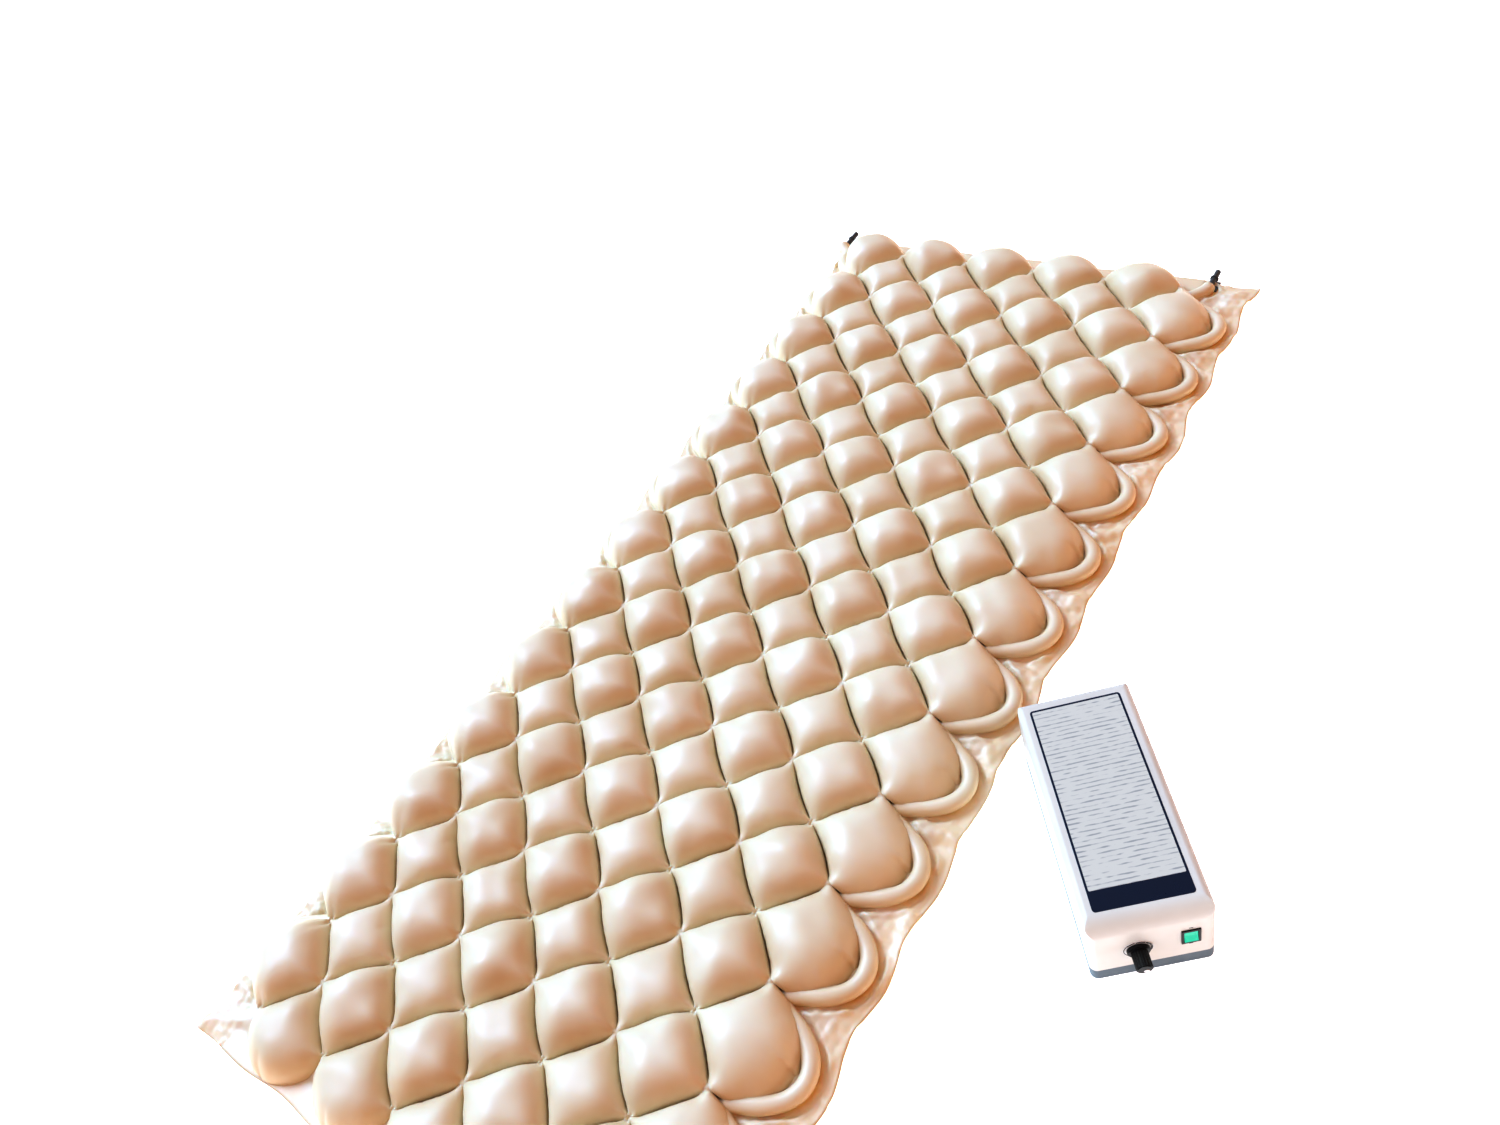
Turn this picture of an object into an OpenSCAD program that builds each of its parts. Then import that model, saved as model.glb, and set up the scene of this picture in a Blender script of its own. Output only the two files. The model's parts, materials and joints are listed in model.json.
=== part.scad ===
// Alternating-pressure bubble overlay mattress with its air pump.
// Millimetres. Origin: centre of the mattress underside. +X to the mattress's right,
// +Y to its foot end, where the air inlets are, +Z up.

/* [Mattress] */
// Distance between neighbouring bubbles of one air circuit, along X and along Y
pitch = 140; // [130:1:150]
// Bubbles in one row across the mattress
columns = 5; // [4:1:6]
// Rows of bubbles in each of the two air circuits
rows = 13; // [8:1:14]
// Height of an inflated bubble above the floor
bubble_top = 65; // [60:1:75]
// Radius of the ball that a bubble's crown is part of
crown_r = 90; // [86:1:110]
// Free gap between the crowns of neighbouring bubbles
crown_gap = 8; // [6:1:12]
// How far a crown sinks when its circuit is let down
deflate_travel = 35; // [20:1:35]
// Thickness of the plastic sheet
skin = 0.8; // [0.6:0.1:1]
// Height of the welded seams between the bubbles
seam_height = 22; // [12:1:26]
// Width of the flat margin beside the outermost bubble centres
side_margin = 112; // [108:1:130]
// Width of the flat margin beyond the last bubble centres at both ends
end_margin = 70; // [66:1:90]
// Radius of the side air channels
channel_r = 11; // [9:1:12]
// Radius of each scallop of a side air channel
scallop_r = 62; // [60:1:64]

/* [Pump housing] */
// Width of the pump
pump_w = 140; // [130:1:160]
// Length of the pump
pump_l = 310; // [300:1:330]
// Height of the pump, feet included
pump_h = 120; // [114:1:126]
// Height of the base tray's upper edge
base_top = 23; // [22:1:26]
// Wall thickness of the housing
wall = 2.5; // [2:0.1:3]
// Radius of the housing's upright corners
corner_r = 9; // [6:1:12]
// Radius of the cover's long upper edges
edge_r = 8; // [5:1:10]
// Radius of the cover's upper front edge
brow_r = 20; // [12:1:24]
// Height of the rubber feet
foot_h = 3; // [2:0.5:5]
// Where the pump stands: X of its centre
pump_x = 600; // [560:5:900]
// Where the pump stands: Y of its centre
pump_y = -180; // [-500:5:500]
// How far the pump is turned on the floor
pump_turn = 38; // [0:1:40]

/* [Controls] */
// Knob centre, to the left of the pump's middle
knob_x = -16; // [-20:1:-12]
// Knob centre height
knob_z = 61; // [56:1:66]
// Diameter of the knob's skirt
knob_d = 26; // [22:1:30]
// Length of the knob in front of the cover
knob_l = 25; // [20:1:28]
// Switch centre, to the right of the pump's middle
switch_x = 42; // [38:1:44]
// Switch centre height
switch_z = 67; // [60:1:72]
// Angle that the rocker tips through
rocker_tip = 16; // [10:1:20]

/* [Air parts] */
// Outer radius of the hose spigots
spigot_r = 5; // [4:0.5:6]
// Bore radius of the hose spigots
spigot_bore_r = 3; // [2:0.5:3.5]
// Free length of a hose spigot
spigot_l = 22; // [18:1:28]
// Radius of the silicone tubes inside the pump
tube_r = 3; // [2.5:0.5:3.5]

/* [Hidden] */
$fn = 64;
eps = 0.01;
beige = [0.89, 0.77, 0.65];
pale = [0.91, 0.86, 0.80];
warm_white = [0.87, 0.87, 0.86];
slate = [0.45, 0.51, 0.56];
black = [0.07, 0.07, 0.08];
navy = [0.07, 0.11, 0.2];
steel = [0.62, 0.63, 0.65];
copper = [0.72, 0.42, 0.22];
rubber_grey = [0.2, 0.2, 0.22];
silicone = [0.85, 0.87, 0.86];

x_edge = (columns / 2 - 0.25) * pitch;          // centre line of the outermost bubbles
y_edge = (rows / 2 - 0.25) * pitch;
diamond = pitch / sqrt(2);                      // side of the square that a bubble fills
crown_base = deflate_travel + 2;                // lower rim of a crown
pad_x = x_edge + side_margin;
pad_y = y_edge + end_margin;
channel_x = x_edge + 35;                        // centre line of the scallops
channel_z = 2 * skin + channel_r;
bulge_r = scallop_r - channel_r - 5;            // rounded outer side of an edge bubble
bulge_x = 30;
edge_shift = 10;
inlet_a_x = -channel_x - scallop_r;             // each channel ends in a straight lead here
inlet_b_x = channel_x;

front = -pump_l / 2;
rear = pump_l / 2;
base_low = foot_h;
tray_floor = base_low + wall;
screw_x = pump_w / 2 - 12;
screw_y = pump_l / 2 - 12;
boss_r = 5;
screw_r = 1.5;
foot_x = 50;
foot_y = 120;
foot_r = 7;

knob_plate = 0.6;
spindle_r = 3;
bezel_w = 21;
bezel_h = 29;
rocker_w = 15;
rocker_r = 11;
rocker_pivot_y = front + 3;

mount_x = 44;                                   // rubber mounts of the compressor
mount_front_y = -62;
mount_rear_y = 44;
mount_h = 9;
deck = tray_floor + mount_h;                    // underside of the compressor frame
deck_t = 2.5;
core_y = -34;
core_z = 48;
arm_x = 28;                                     // inner face of a swing arm
arm_t = 2;
arm_pivot_y = 36;
chamber_y = 2;
chamber_in = 41;
chamber_out = 61;
pad_gap = 1.2;
diaphragm_r = 15;

valve_x = -18;
valve_y = 98;
valve_low = tray_floor + 12;
valve_h = 14;
rotor_h = 5;
motor_low = valve_low + valve_h + rotor_h + 8;
motor_r = 25;
motor_h = 18;
shaft_r = 2.5;
run_gap = 0.05;

outlet_z = 46;
outlet_a_x = -46;
outlet_b_x = -22;
grommet_x = 44;
grommet_z = 38;
cord_hole_r = 3.5;
fuse_z = 66;
inlet_z = 10;
inlet_l = 26;                                   // length of an inlet's plate

// ---------- the bubble lattice ----------
// Circuit A starts at the left side, circuit B half a pitch further right and down.
function a_centres() = [for (i = [0:columns - 1], k = [0:rows - 1])
    [i * pitch - x_edge, (k + 0.5) * pitch - y_edge]];
function b_centres() = [for (c = a_centres()) c + [pitch / 2, -pitch / 2]];
function on_edge(c) = abs(c[0]) > x_edge - 1 ? sign(c[0]) : 0;

// Outline of one bubble with its sides pulled in by inset; an edge bubble is rounded outwards.
module bubble_outline(c, inset) {
    translate(c) rotate(45) square(diamond - 2 * inset, center = true);
    if (on_edge(c) != 0)
        translate([c[0] + on_edge(c) * bulge_x, c[1]]) circle(r = bulge_r - inset);
}

module crown_solid(c, inset) {
    intersection() {
        translate([0, 0, crown_base])
            linear_extrude(bubble_top) bubble_outline(c, crown_gap / 2 + inset);
        translate([c[0] + on_edge(c) * edge_shift, c[1], bubble_top - crown_r])
            sphere(r = crown_r - inset);
    }
}

// An inflated bubble's crown: a thin skin, open below, that sinks as the air leaves.
module crown(c) {
    difference() {
        crown_solid(c, 0);
        translate([0, 0, -eps]) crown_solid(c, skin);
    }
}

module cells_a() color(pale) for (c = a_centres()) crown(c);
module cells_b() color(beige) for (c = b_centres()) crown(c);

// ---------- sheets and channels ----------
module pad_outline() square([2 * pad_x, 2 * pad_y], center = true);

module bottom_sheet() color(beige) linear_extrude(skin) pad_outline();

// The upper sheet: its flat margin, and the seams where it dips between the bubbles.
module top_sheet() color(beige) {
    translate([0, 0, skin]) linear_extrude(skin) difference() {
        pad_outline();
        square([2 * channel_x - 12, 2 * (y_edge - 4)], center = true);
    }
    translate([0, 0, skin]) linear_extrude(seam_height - skin) difference() {
        for (c = concat(a_centres(), b_centres())) bubble_outline(c, -skin / 2);
        for (c = concat(a_centres(), b_centres())) bubble_outline(c, skin);
    }
}

// Half a ring round each edge bubble; the left channel's last one turns only a quarter.
module scallops(side, r) {
    for (k = [0:rows - 1])
        translate([side * channel_x, (k + (side < 0 ? 0.5 : 0)) * pitch - y_edge, channel_z])
            rotate(side > 0 ? -90 : k < rows - 1 ? 90 : 180)
                rotate_extrude(angle = side < 0 && k == rows - 1 ? 90 : 180)
                    translate([scallop_r, 0]) circle(r = r);
}

// The straight lead from the last scallop to the inlet.
module lead(side, r, end) {
    start = side < 0 ? y_edge : y_edge - pitch / 2 + scallop_r;
    translate([side < 0 ? inlet_a_x : inlet_b_x, start, channel_z]) {
        rotate([-90, 0, 0]) cylinder(r = r, h = end - start);
        if (side > 0) sphere(r = r);
    }
}

module manifold(side) {
    end = pad_y - inlet_l;
    difference() {
        union() {
            scallops(side, channel_r);
            lead(side, channel_r, end);
        }
        scallops(side, channel_r - skin);
        lead(side, channel_r - skin, end - skin);
        translate([side < 0 ? inlet_a_x : inlet_b_x, end - 2, inlet_z])
            rotate([-90, 0, 0]) cylinder(r = spigot_r + 0.05, h = 4);
    }
}

module manifold_a() color(pale) manifold(-1);
module manifold_b() color(pale) manifold(1);

module air_inlet(x) {
    inner = 10;
    difference() {
        union() {
            translate([x - 12, pad_y - inlet_l, 2 * skin]) cube([24, inlet_l, 3]);
            translate([x, pad_y - inlet_l - inner, inlet_z]) rotate([-90, 0, 0])
                cylinder(r = spigot_r, h = inlet_l + inner + spigot_l);
            translate([x - 3, pad_y - inlet_l + 4, 4]) cube([6, inlet_l - 8, 3]);
            translate([x, pad_y, inlet_z]) rotate([-90, 0, 0])
                cylinder(r = spigot_r + 2, h = 3);
        }
        translate([x, pad_y - inlet_l - inner - 1, inlet_z]) rotate([-90, 0, 0])
            cylinder(r = spigot_bore_r, h = inlet_l + inner + spigot_l + 2);
    }
}

module air_inlet_a() color(slate) air_inlet(inlet_a_x);
module air_inlet_b() color(slate) air_inlet(inlet_b_x);

// ---------- pump ----------
module place_pump() translate([pump_x, pump_y, 0]) rotate(pump_turn) children();
module both() { children(); mirror([1, 0, 0]) children(); }
module four(x, y) for (sx = [-1, 1], sy = [-1, 1]) translate([sx * x, sy * y, 0]) children();
module along_y(r, h) rotate([-90, 0, 0]) cylinder(r = r, h = h);
module along_x(r, h) rotate([0, 90, 0]) cylinder(r = r, h = h);

module rounded_plan(inset) {
    w = pump_w - 2 * inset;
    l = pump_l - 2 * inset;
    r = corner_r - inset;
    square([w - 2 * r, l], center = true);
    square([w, l - 2 * r], center = true);
    for (sx = [-1, 1], sy = [-1, 1])
        translate([sx * (w / 2 - r), sy * (l / 2 - r)]) circle(r = r);
}

// A rectangle from [x0, 0] to [x1, h] whose two upper corners have radii r0 and r1.
module arch(x0, x1, h, r0, r1) {
    translate([x0, 0]) square([x1 - x0, h - max(r0, r1)]);
    translate([x0 + r0, 0]) square([x1 - x0 - r0 - r1, h]);
    translate([x0, 0]) square([r0 + eps, h - r0]);
    translate([x1 - r1 - eps, 0]) square([r1 + eps, h - r1]);
    translate([x0 + r0, h - r0]) circle(r = r0);
    translate([x1 - r1, h - r1]) circle(r = r1);
}

// The cover's outer form, or its inside when inset is the wall.
module cover_form(inset) {
    intersection() {
        linear_extrude(pump_h) rounded_plan(inset);
        translate([0, rear + 1, 0]) rotate([90, 0, 0]) linear_extrude(pump_l + 2)
            arch(-pump_w / 2 + inset, pump_w / 2 - inset, pump_h - inset,
                 edge_r - inset, edge_r - inset);
        translate([-pump_w / 2 - 1, 0, 0]) rotate([90, 0, 90]) linear_extrude(pump_w + 2)
            arch(front + inset, rear - inset, pump_h - inset,
                 brow_r - inset, edge_r - inset);
    }
}

module pump_cover() color(warm_white) place_pump() difference() {
    union() {
        difference() {
            cover_form(0);
            cover_form(wall);
        }
        intersection() {
            cover_form(wall / 2);
            four(screw_x, screw_y) cylinder(r = boss_r, h = pump_h);
        }
    }
    translate([-pump_w, -pump_l, -1]) cube([2 * pump_w, 2 * pump_l, base_top + 1]);
    four(screw_x, screw_y) cylinder(r = screw_r, h = base_top + 16);
    translate([knob_x, front - 1, knob_z]) along_y(spindle_r + 1.5, wall + 2);
    translate([switch_x - bezel_w / 2 + 1.5, front - 1, switch_z - bezel_h / 2 + 1.5])
        cube([bezel_w - 3, wall + 2, bezel_h - 3]);
    for (x = [outlet_a_x, outlet_b_x])
        translate([x, rear - wall - 1, outlet_z]) along_y(spigot_r + 0.1, wall + 2);
    translate([grommet_x, rear - wall - 1, grommet_z]) along_y(7.1, wall + 2);
    translate([grommet_x, rear - wall - 1, fuse_z]) along_y(6.6, wall + 2);
}

module pump_base() color(slate) place_pump() difference() {
    union() {
        difference() {
            translate([0, 0, base_low]) linear_extrude(base_top - base_low) rounded_plan(0);
            translate([0, 0, tray_floor]) linear_extrude(base_top) rounded_plan(wall);
        }
        four(screw_x, screw_y) translate([0, 0, base_low + 1])
            cylinder(r = boss_r, h = base_top - base_low - 1);
        for (x = [-16, 16]) translate([valve_x + x, valve_y, base_low + 1])
            cylinder(r = 4, h = valve_low - base_low - 1);
    }
    four(screw_x, screw_y) {
        translate([0, 0, base_low - 1]) cylinder(r = screw_r, h = base_top);
        translate([0, 0, base_low - 1]) cylinder(r = 3.6, h = 4.5);
    }
    for (k = [-2:2]) translate([30 - 9, -105 + 6 * k - 1, base_low - 1]) cube([18, 2, wall + 2]);
}

module rubber_feet() color(rubber_grey) place_pump()
    four(foot_x, foot_y) {
        cylinder(r = foot_r, h = foot_h);
        cylinder(r = foot_r - 1.5, h = 1);
    }

module housing_screws() color(steel) place_pump()
    four(screw_x, screw_y) {
        translate([0, 0, base_low + 1.5]) cylinder(r = 3.2, h = 2);
        translate([0, 0, base_low + 3]) cylinder(r = screw_r, h = base_top + 8);
    }

label_front = front + brow_r + 2;
label_rear = rear - 14;
label_w = pump_w - 28;
module top_label() color(navy) place_pump() {
    r = 4;
    translate([0, (label_front + label_rear) / 2, pump_h]) linear_extrude(0.3) {
        square([label_w - 2 * r, label_rear - label_front], center = true);
        square([label_w, label_rear - label_front - 2 * r], center = true);
        for (sx = [-1, 1], sy = [-1, 1])
            translate([sx * (label_w / 2 - r), sy * ((label_rear - label_front) / 2 - r)])
                circle(r = r);
    }
}

module dial_ring() color(silicone) place_pump()
    translate([knob_x, front - knob_plate, knob_z]) difference() {
        along_y(knob_d / 2 + 4, knob_plate);
        translate([0, -1, 0]) along_y(spindle_r + 1.5, knob_plate + 2);
    }

module pressure_knob() color(black) place_pump() {
    grips = 18;
    back = front - knob_plate - 0.4;
    tip = front - knob_l;
    skirt = 4;
    difference() {
        translate([knob_x, 0, knob_z]) {
            translate([0, tip, 0]) along_y(8, 1.2);
            translate([0, tip + 1, 0]) along_y(9.5, back - tip - 1 - skirt + 0.5);
            translate([0, back - skirt, 0]) along_y(knob_d / 2 - 1, 1);
            translate([0, back - skirt + 1, 0]) along_y(knob_d / 2, skirt - 1);
        }
        for (k = [0:grips - 1]) translate([knob_x, tip - 1, knob_z]) rotate([0, (k + 0.4) * 360 / grips, 0])
            translate([9.9, 0, 0]) along_y(1.1, back - tip - skirt + 0.2);
        translate([knob_x, back - 10, knob_z]) along_y(spindle_r + run_gap, 12);
    }
}

module knob_spindle() color(steel) place_pump()
    translate([knob_x, front - knob_plate - 0.4 - 10, knob_z]) along_y(spindle_r, 10.4 + knob_plate + 13);

module regulator_body() color(black) place_pump() {
    difference() {
        union() {
            translate([knob_x, front + wall, knob_z]) along_y(11, 4);
            translate([knob_x - 10, front + wall + 4, knob_z - 10]) cube([20, 16, 20]);
            translate([knob_x, front + wall + 20, knob_z]) along_y(2.5, 8);
        }
        translate([knob_x, front, knob_z]) along_y(spindle_r + run_gap, 14);
    }
}

module switch_housing() color(black) place_pump() {
    hole_w = rocker_w + 1;
    hole_h = 2 * rocker_r + 1;
    difference() {
        union() {
            translate([switch_x - bezel_w / 2, front - 1.6, switch_z - bezel_h / 2])
                cube([bezel_w, 1.6, bezel_h]);
            translate([switch_x - bezel_w / 2 + 1.5, front, switch_z - bezel_h / 2 + 1.5])
                cube([bezel_w - 3, 22, bezel_h - 3]);
        }
        translate([switch_x - hole_w / 2, front - 2, switch_z - hole_h / 2])
            cube([hole_w, 18, hole_h]);
    }
    for (z = [-7, 0, 7]) translate([switch_x - 2.5, front + 22, switch_z + z - 0.4])
        cube([5, 7, 0.8]);
}

// Rocker in its "on" place: the upper half is pressed in and the lower half stands proud.
module power_rocker() color([0.1, 0.62, 0.5]) place_pump()
    translate([switch_x - rocker_w / 2, rocker_pivot_y, switch_z])
        rotate([-rocker_tip / 2, 0, 0]) intersection() {
            along_x(rocker_r, rocker_w);
            rotate([90, 0, 90]) linear_extrude(rocker_w)
                polygon([[8, -3], [8, 3], [2, 6], [0, 11], [-4.6, 10.6], [-3.4, 0],
                         [-4.6, -10.6], [0, -11], [2, -6]]);
        }

module spigot(x) translate([x, rear, outlet_z]) difference() {
    union() {
        translate([0, -12, 0]) along_y(spigot_r, 12 + spigot_l);
        along_y(spigot_r + 3, 2);
        translate([0, -wall - 3, 0]) along_y(spigot_r + 3, 3);
    }
    translate([0, -13, 0]) along_y(spigot_bore_r, 14 + spigot_l);
}
module outlet_a() color(slate) place_pump() spigot(outlet_a_x);
module outlet_b() color(slate) place_pump() spigot(outlet_b_x);

module cord_grommet() color(black) place_pump()
    translate([grommet_x, rear, grommet_z]) difference() {
        union() {
            translate([0, -wall - 2, 0]) along_y(7, wall + 2);
            along_y(9, 3);
            translate([0, -wall - 3, 0]) along_y(9, 3);
        }
        translate([0, -10, 0]) along_y(cord_hole_r, 20);
    }

module fuse_holder() color(black) place_pump()
    translate([grommet_x, rear, fuse_z]) difference() {
        union() {
            translate([0, -28, 0]) along_y(6.5, 28);
            along_y(8.5, 2.5);
            translate([0, 2.5, 0]) along_y(6, 3);
            translate([0, -wall - 3, 0]) along_y(9, 3);
        }
        translate([-5, 4, -0.6]) cube([10, 3, 1.2]);
    }

module compressor_frame() color(steel) place_pump() {
    difference() {
        translate([-54, -72, deck]) cube([108, 126, deck_t]);
        for (x = [-mount_x, mount_x], y = [mount_front_y, mount_rear_y])
            translate([x, y, deck - 1]) cylinder(r = 3.1, h = deck_t + 2);
    }
    both() difference() {
        translate([arm_x - 3, arm_pivot_y - 6, deck + deck_t]) cube([8, 12, 12]);
        translate([arm_x + 1, arm_pivot_y, deck + deck_t]) cylinder(r = 1.5 + run_gap, h = 13);
    }
    both() translate([chamber_in + 2, chamber_y - 14, deck + deck_t]) cube([14, 28, 6]);
}

module vibration_mounts() color(rubber_grey) place_pump()
    for (x = [-mount_x, mount_x], y = [mount_front_y, mount_rear_y])
        translate([x, y, tray_floor]) {
            cylinder(r = 7, h = mount_h);
            cylinder(r = 3, h = mount_h + deck_t);
            translate([0, 0, mount_h + deck_t]) cylinder(r = 5, h = 2);
        }

core_half = 22;
module magnet_core() color(steel) place_pump() {
    translate([-core_half, core_y - 8, core_z - 14]) cube([2 * core_half, 16, 28]);
    translate([-12, core_y - 8, deck + deck_t]) cube([24, 16, core_z - 14 - deck - deck_t]);
}

module coil() color(copper) place_pump()
    translate([0, core_y, core_z]) difference() {
        translate([-14, -17, -23]) cube([28, 34, 46]);
        translate([-15, -8, -14]) cube([30, 16, 28]);
        translate([-15, -18, -30]) cube([3, 60, 60]);
        translate([12, -18, -30]) cube([3, 60, 60]);
        translate([-12, -8, -24]) cube([24, 16, 11]);
    }

module swing_arm() {
    translate([arm_x, core_y - 8, core_z - 9])
        cube([arm_t, arm_pivot_y - core_y + 10, 18]);
    translate([arm_x + 1, arm_pivot_y, deck + deck_t + 1]) cylinder(r = 1.5, h = 13);
    translate([arm_x + 1, arm_pivot_y, deck + deck_t + 12.5])
        cylinder(r = 4, h = core_z + 9 - deck - deck_t - 12.5);
    translate([arm_x + arm_t, chamber_y, core_z])
        along_x(5, chamber_in - 4 - pad_gap - arm_x - arm_t);
}
module arm_left() color(slate) place_pump() mirror([1, 0, 0]) swing_arm();
module arm_right() color(slate) place_pump() swing_arm();

module arm_magnet() translate([arm_x - 4, core_y - 7, core_z - 9]) cube([4, 14, 18]);
module magnet_left() color(steel) place_pump() mirror([1, 0, 0]) arm_magnet();
module magnet_right() color(steel) place_pump() arm_magnet();

module diaphragm() translate([chamber_in - 4, chamber_y, core_z]) {
    along_x(diaphragm_r - 4, 4);
    translate([2, 0, 0]) along_x(diaphragm_r, 2);
}
module diaphragm_left() color(black) place_pump() mirror([1, 0, 0]) diaphragm();
module diaphragm_right() color(black) place_pump() diaphragm();

module pump_chamber() {
    translate([chamber_in, chamber_y, core_z]) along_x(diaphragm_r + 3, chamber_out - chamber_in);
    translate([chamber_in + 4, chamber_y - 12, deck + deck_t + 6])
        cube([10, 24, core_z - 16 - deck - deck_t - 6 + 4]);
    translate([chamber_in + 10, chamber_y, core_z + diaphragm_r]) cylinder(r = 3, h = 14);
}
module pump_chamber_left() color(warm_white) place_pump() mirror([1, 0, 0]) pump_chamber();
module pump_chamber_right() color(warm_white) place_pump() pump_chamber();

module distributor_body() color(warm_white) place_pump()
    translate([valve_x, valve_y, valve_low]) {
        difference() {
            cylinder(r = 22, h = valve_h);
            translate([0, 0, 6]) cylinder(r = shaft_r + run_gap, h = valve_h);
        }
        translate([outlet_a_x - valve_x, 12, 7]) along_y(3, 18);
        translate([outlet_b_x - valve_x, 21, 7]) along_y(3, 9);
        translate([-10, 12, 4]) cube([-outlet_a_x + valve_x - 18, 6, 6]);
        translate([20, 0, 7]) along_x(3, 12);
        translate([outlet_a_x - valve_x - 3, 12, 4]) cube([21, 6, 6]);
    }

module valve_rotor() color(black) place_pump()
    translate([valve_x, valve_y, valve_low + valve_h + 0.3]) difference() {
        cylinder(r = 18, h = rotor_h);
        translate([0, 0, -1]) cylinder(r = shaft_r, h = rotor_h + 2);
        for (a = [30, 150, 270]) rotate(a) translate([11, 0, -1]) cylinder(r = 3, h = rotor_h + 2);
    }

module rotor_shaft() color(steel) place_pump()
    translate([valve_x, valve_y, valve_low + 7])
        cylinder(r = shaft_r, h = motor_low + motor_h - 4 - valve_low - 7);

module valve_motor() color(steel) place_pump()
    translate([valve_x, valve_y, motor_low]) difference() {
        union() {
            cylinder(r = motor_r, h = motor_h);
            translate([motor_r - 4, -6, 4]) cube([9, 12, 8]);
        }
        translate([0, 0, -1]) cylinder(r = shaft_r + run_gap, h = motor_h - 2);
    }

module motor_bracket() color(steel) place_pump() {
    translate([valve_x, valve_y, 0]) difference() {
        union() {
            translate([-34, -9, motor_low - 2]) cube([68, 18, 2]);
            for (x = [-34, 32]) translate([x, -9, tray_floor]) cube([2, 18, motor_low - tray_floor]);
        }
        translate([0, 0, motor_low - 3]) cylinder(r = 5, h = 5);
        translate([25, -6, valve_low]) cube([12, 12, valve_h]);
    }
}

// A run of round tube through a list of points, with a slightly fuller ball at each bend.
module tube_run(points, r) {
    for (i = [0:len(points) - 2]) {
        d = points[i + 1] - points[i];
        n = norm(d);
        translate(points[i])
            rotate([0, acos(d[2] / n), atan2(d[1], d[0])]) cylinder(r = r, h = n);
    }
    for (i = [1:1:len(points) - 2]) translate(points[i]) sphere(r = r + 0.3);
}

chamber_tip = core_z + diaphragm_r + 14;
chamber_mid = chamber_in + 10;
tube_top = chamber_tip + 12;
module silicone_tubes() color(silicone) place_pump() {
    tube_run([[-chamber_mid, chamber_y, chamber_tip], [-chamber_mid, chamber_y, tube_top],
              [chamber_mid, chamber_y, tube_top], [chamber_mid, chamber_y, chamber_tip]], tube_r);
    tube_run([[0, chamber_y, tube_top], [0, 62, tube_top], [52, 62, tube_top],
              [52, 62, valve_low + 7], [52, valve_y, valve_low + 7],
              [valve_x + 32, valve_y, valve_low + 7]], tube_r);
    tube_run([[0, chamber_y, tube_top], [0, -70, tube_top], [knob_x, -100, knob_z],
              [knob_x, front + wall + 28, knob_z]], tube_r);
    tube_run([[outlet_a_x, valve_y + 30, valve_low + 7], [outlet_a_x, rear - 22, valve_low + 7],
              [outlet_a_x, rear - 18, outlet_z], [outlet_a_x, rear - 12, outlet_z]], tube_r);
    tube_run([[outlet_b_x, valve_y + 30, valve_low + 7], [outlet_b_x, rear - 22, valve_low + 7],
              [outlet_b_x, rear - 18, outlet_z], [outlet_b_x, rear - 12, outlet_z]], tube_r);
}

module terminal_block() color(warm_white) place_pump()
    translate([36, -112, tray_floor]) difference() {
        cube([16, 34, 14]);
        for (k = [0:2]) translate([8, 6 + 11 * k, 8]) cylinder(r = 2.5, h = 10);
    }

module wire_harness() color([0.15, 0.3, 0.6]) place_pump() {
    $fn = 14;
    tube_run([[42, front + 31, switch_z - 7], [42, -118, 50], [42, -104, 32],
              [42, -104, tray_floor + 14]], 1.3);
    tube_run([[48, -88, tray_floor + 14], [48, -88, 30], [13.1, core_y - 12, 34]], 1.3);
}

module intake_filter() color(rubber_grey) place_pump()
    translate([18, -122, tray_floor]) cube([16, 34, 3]);

bottom_sheet();
top_sheet();
manifold_a();
manifold_b();
air_inlet_a();
air_inlet_b();
cells_a();
cells_b();
pump_base();
pump_cover();
rubber_feet();
housing_screws();
top_label();
dial_ring();
switch_housing();
outlet_a();
outlet_b();
cord_grommet();
fuse_holder();
compressor_frame();
vibration_mounts();
magnet_core();
coil();
pump_chamber_left();
pump_chamber_right();
diaphragm_left();
diaphragm_right();
distributor_body();
valve_motor();
motor_bracket();
regulator_body();
silicone_tubes();
terminal_block();
wire_harness();
intake_filter();
pressure_knob();
knob_spindle();
power_rocker();
arm_left();
magnet_left();
arm_right();
magnet_right();
valve_rotor();
rotor_shaft();
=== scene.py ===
"""Alternating-pressure bubble mattress with its air pump: the looks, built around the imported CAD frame."""
import json
import math

import bmesh
import bpy
import numpy as np
from mathutils import Matrix, Vector

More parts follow.
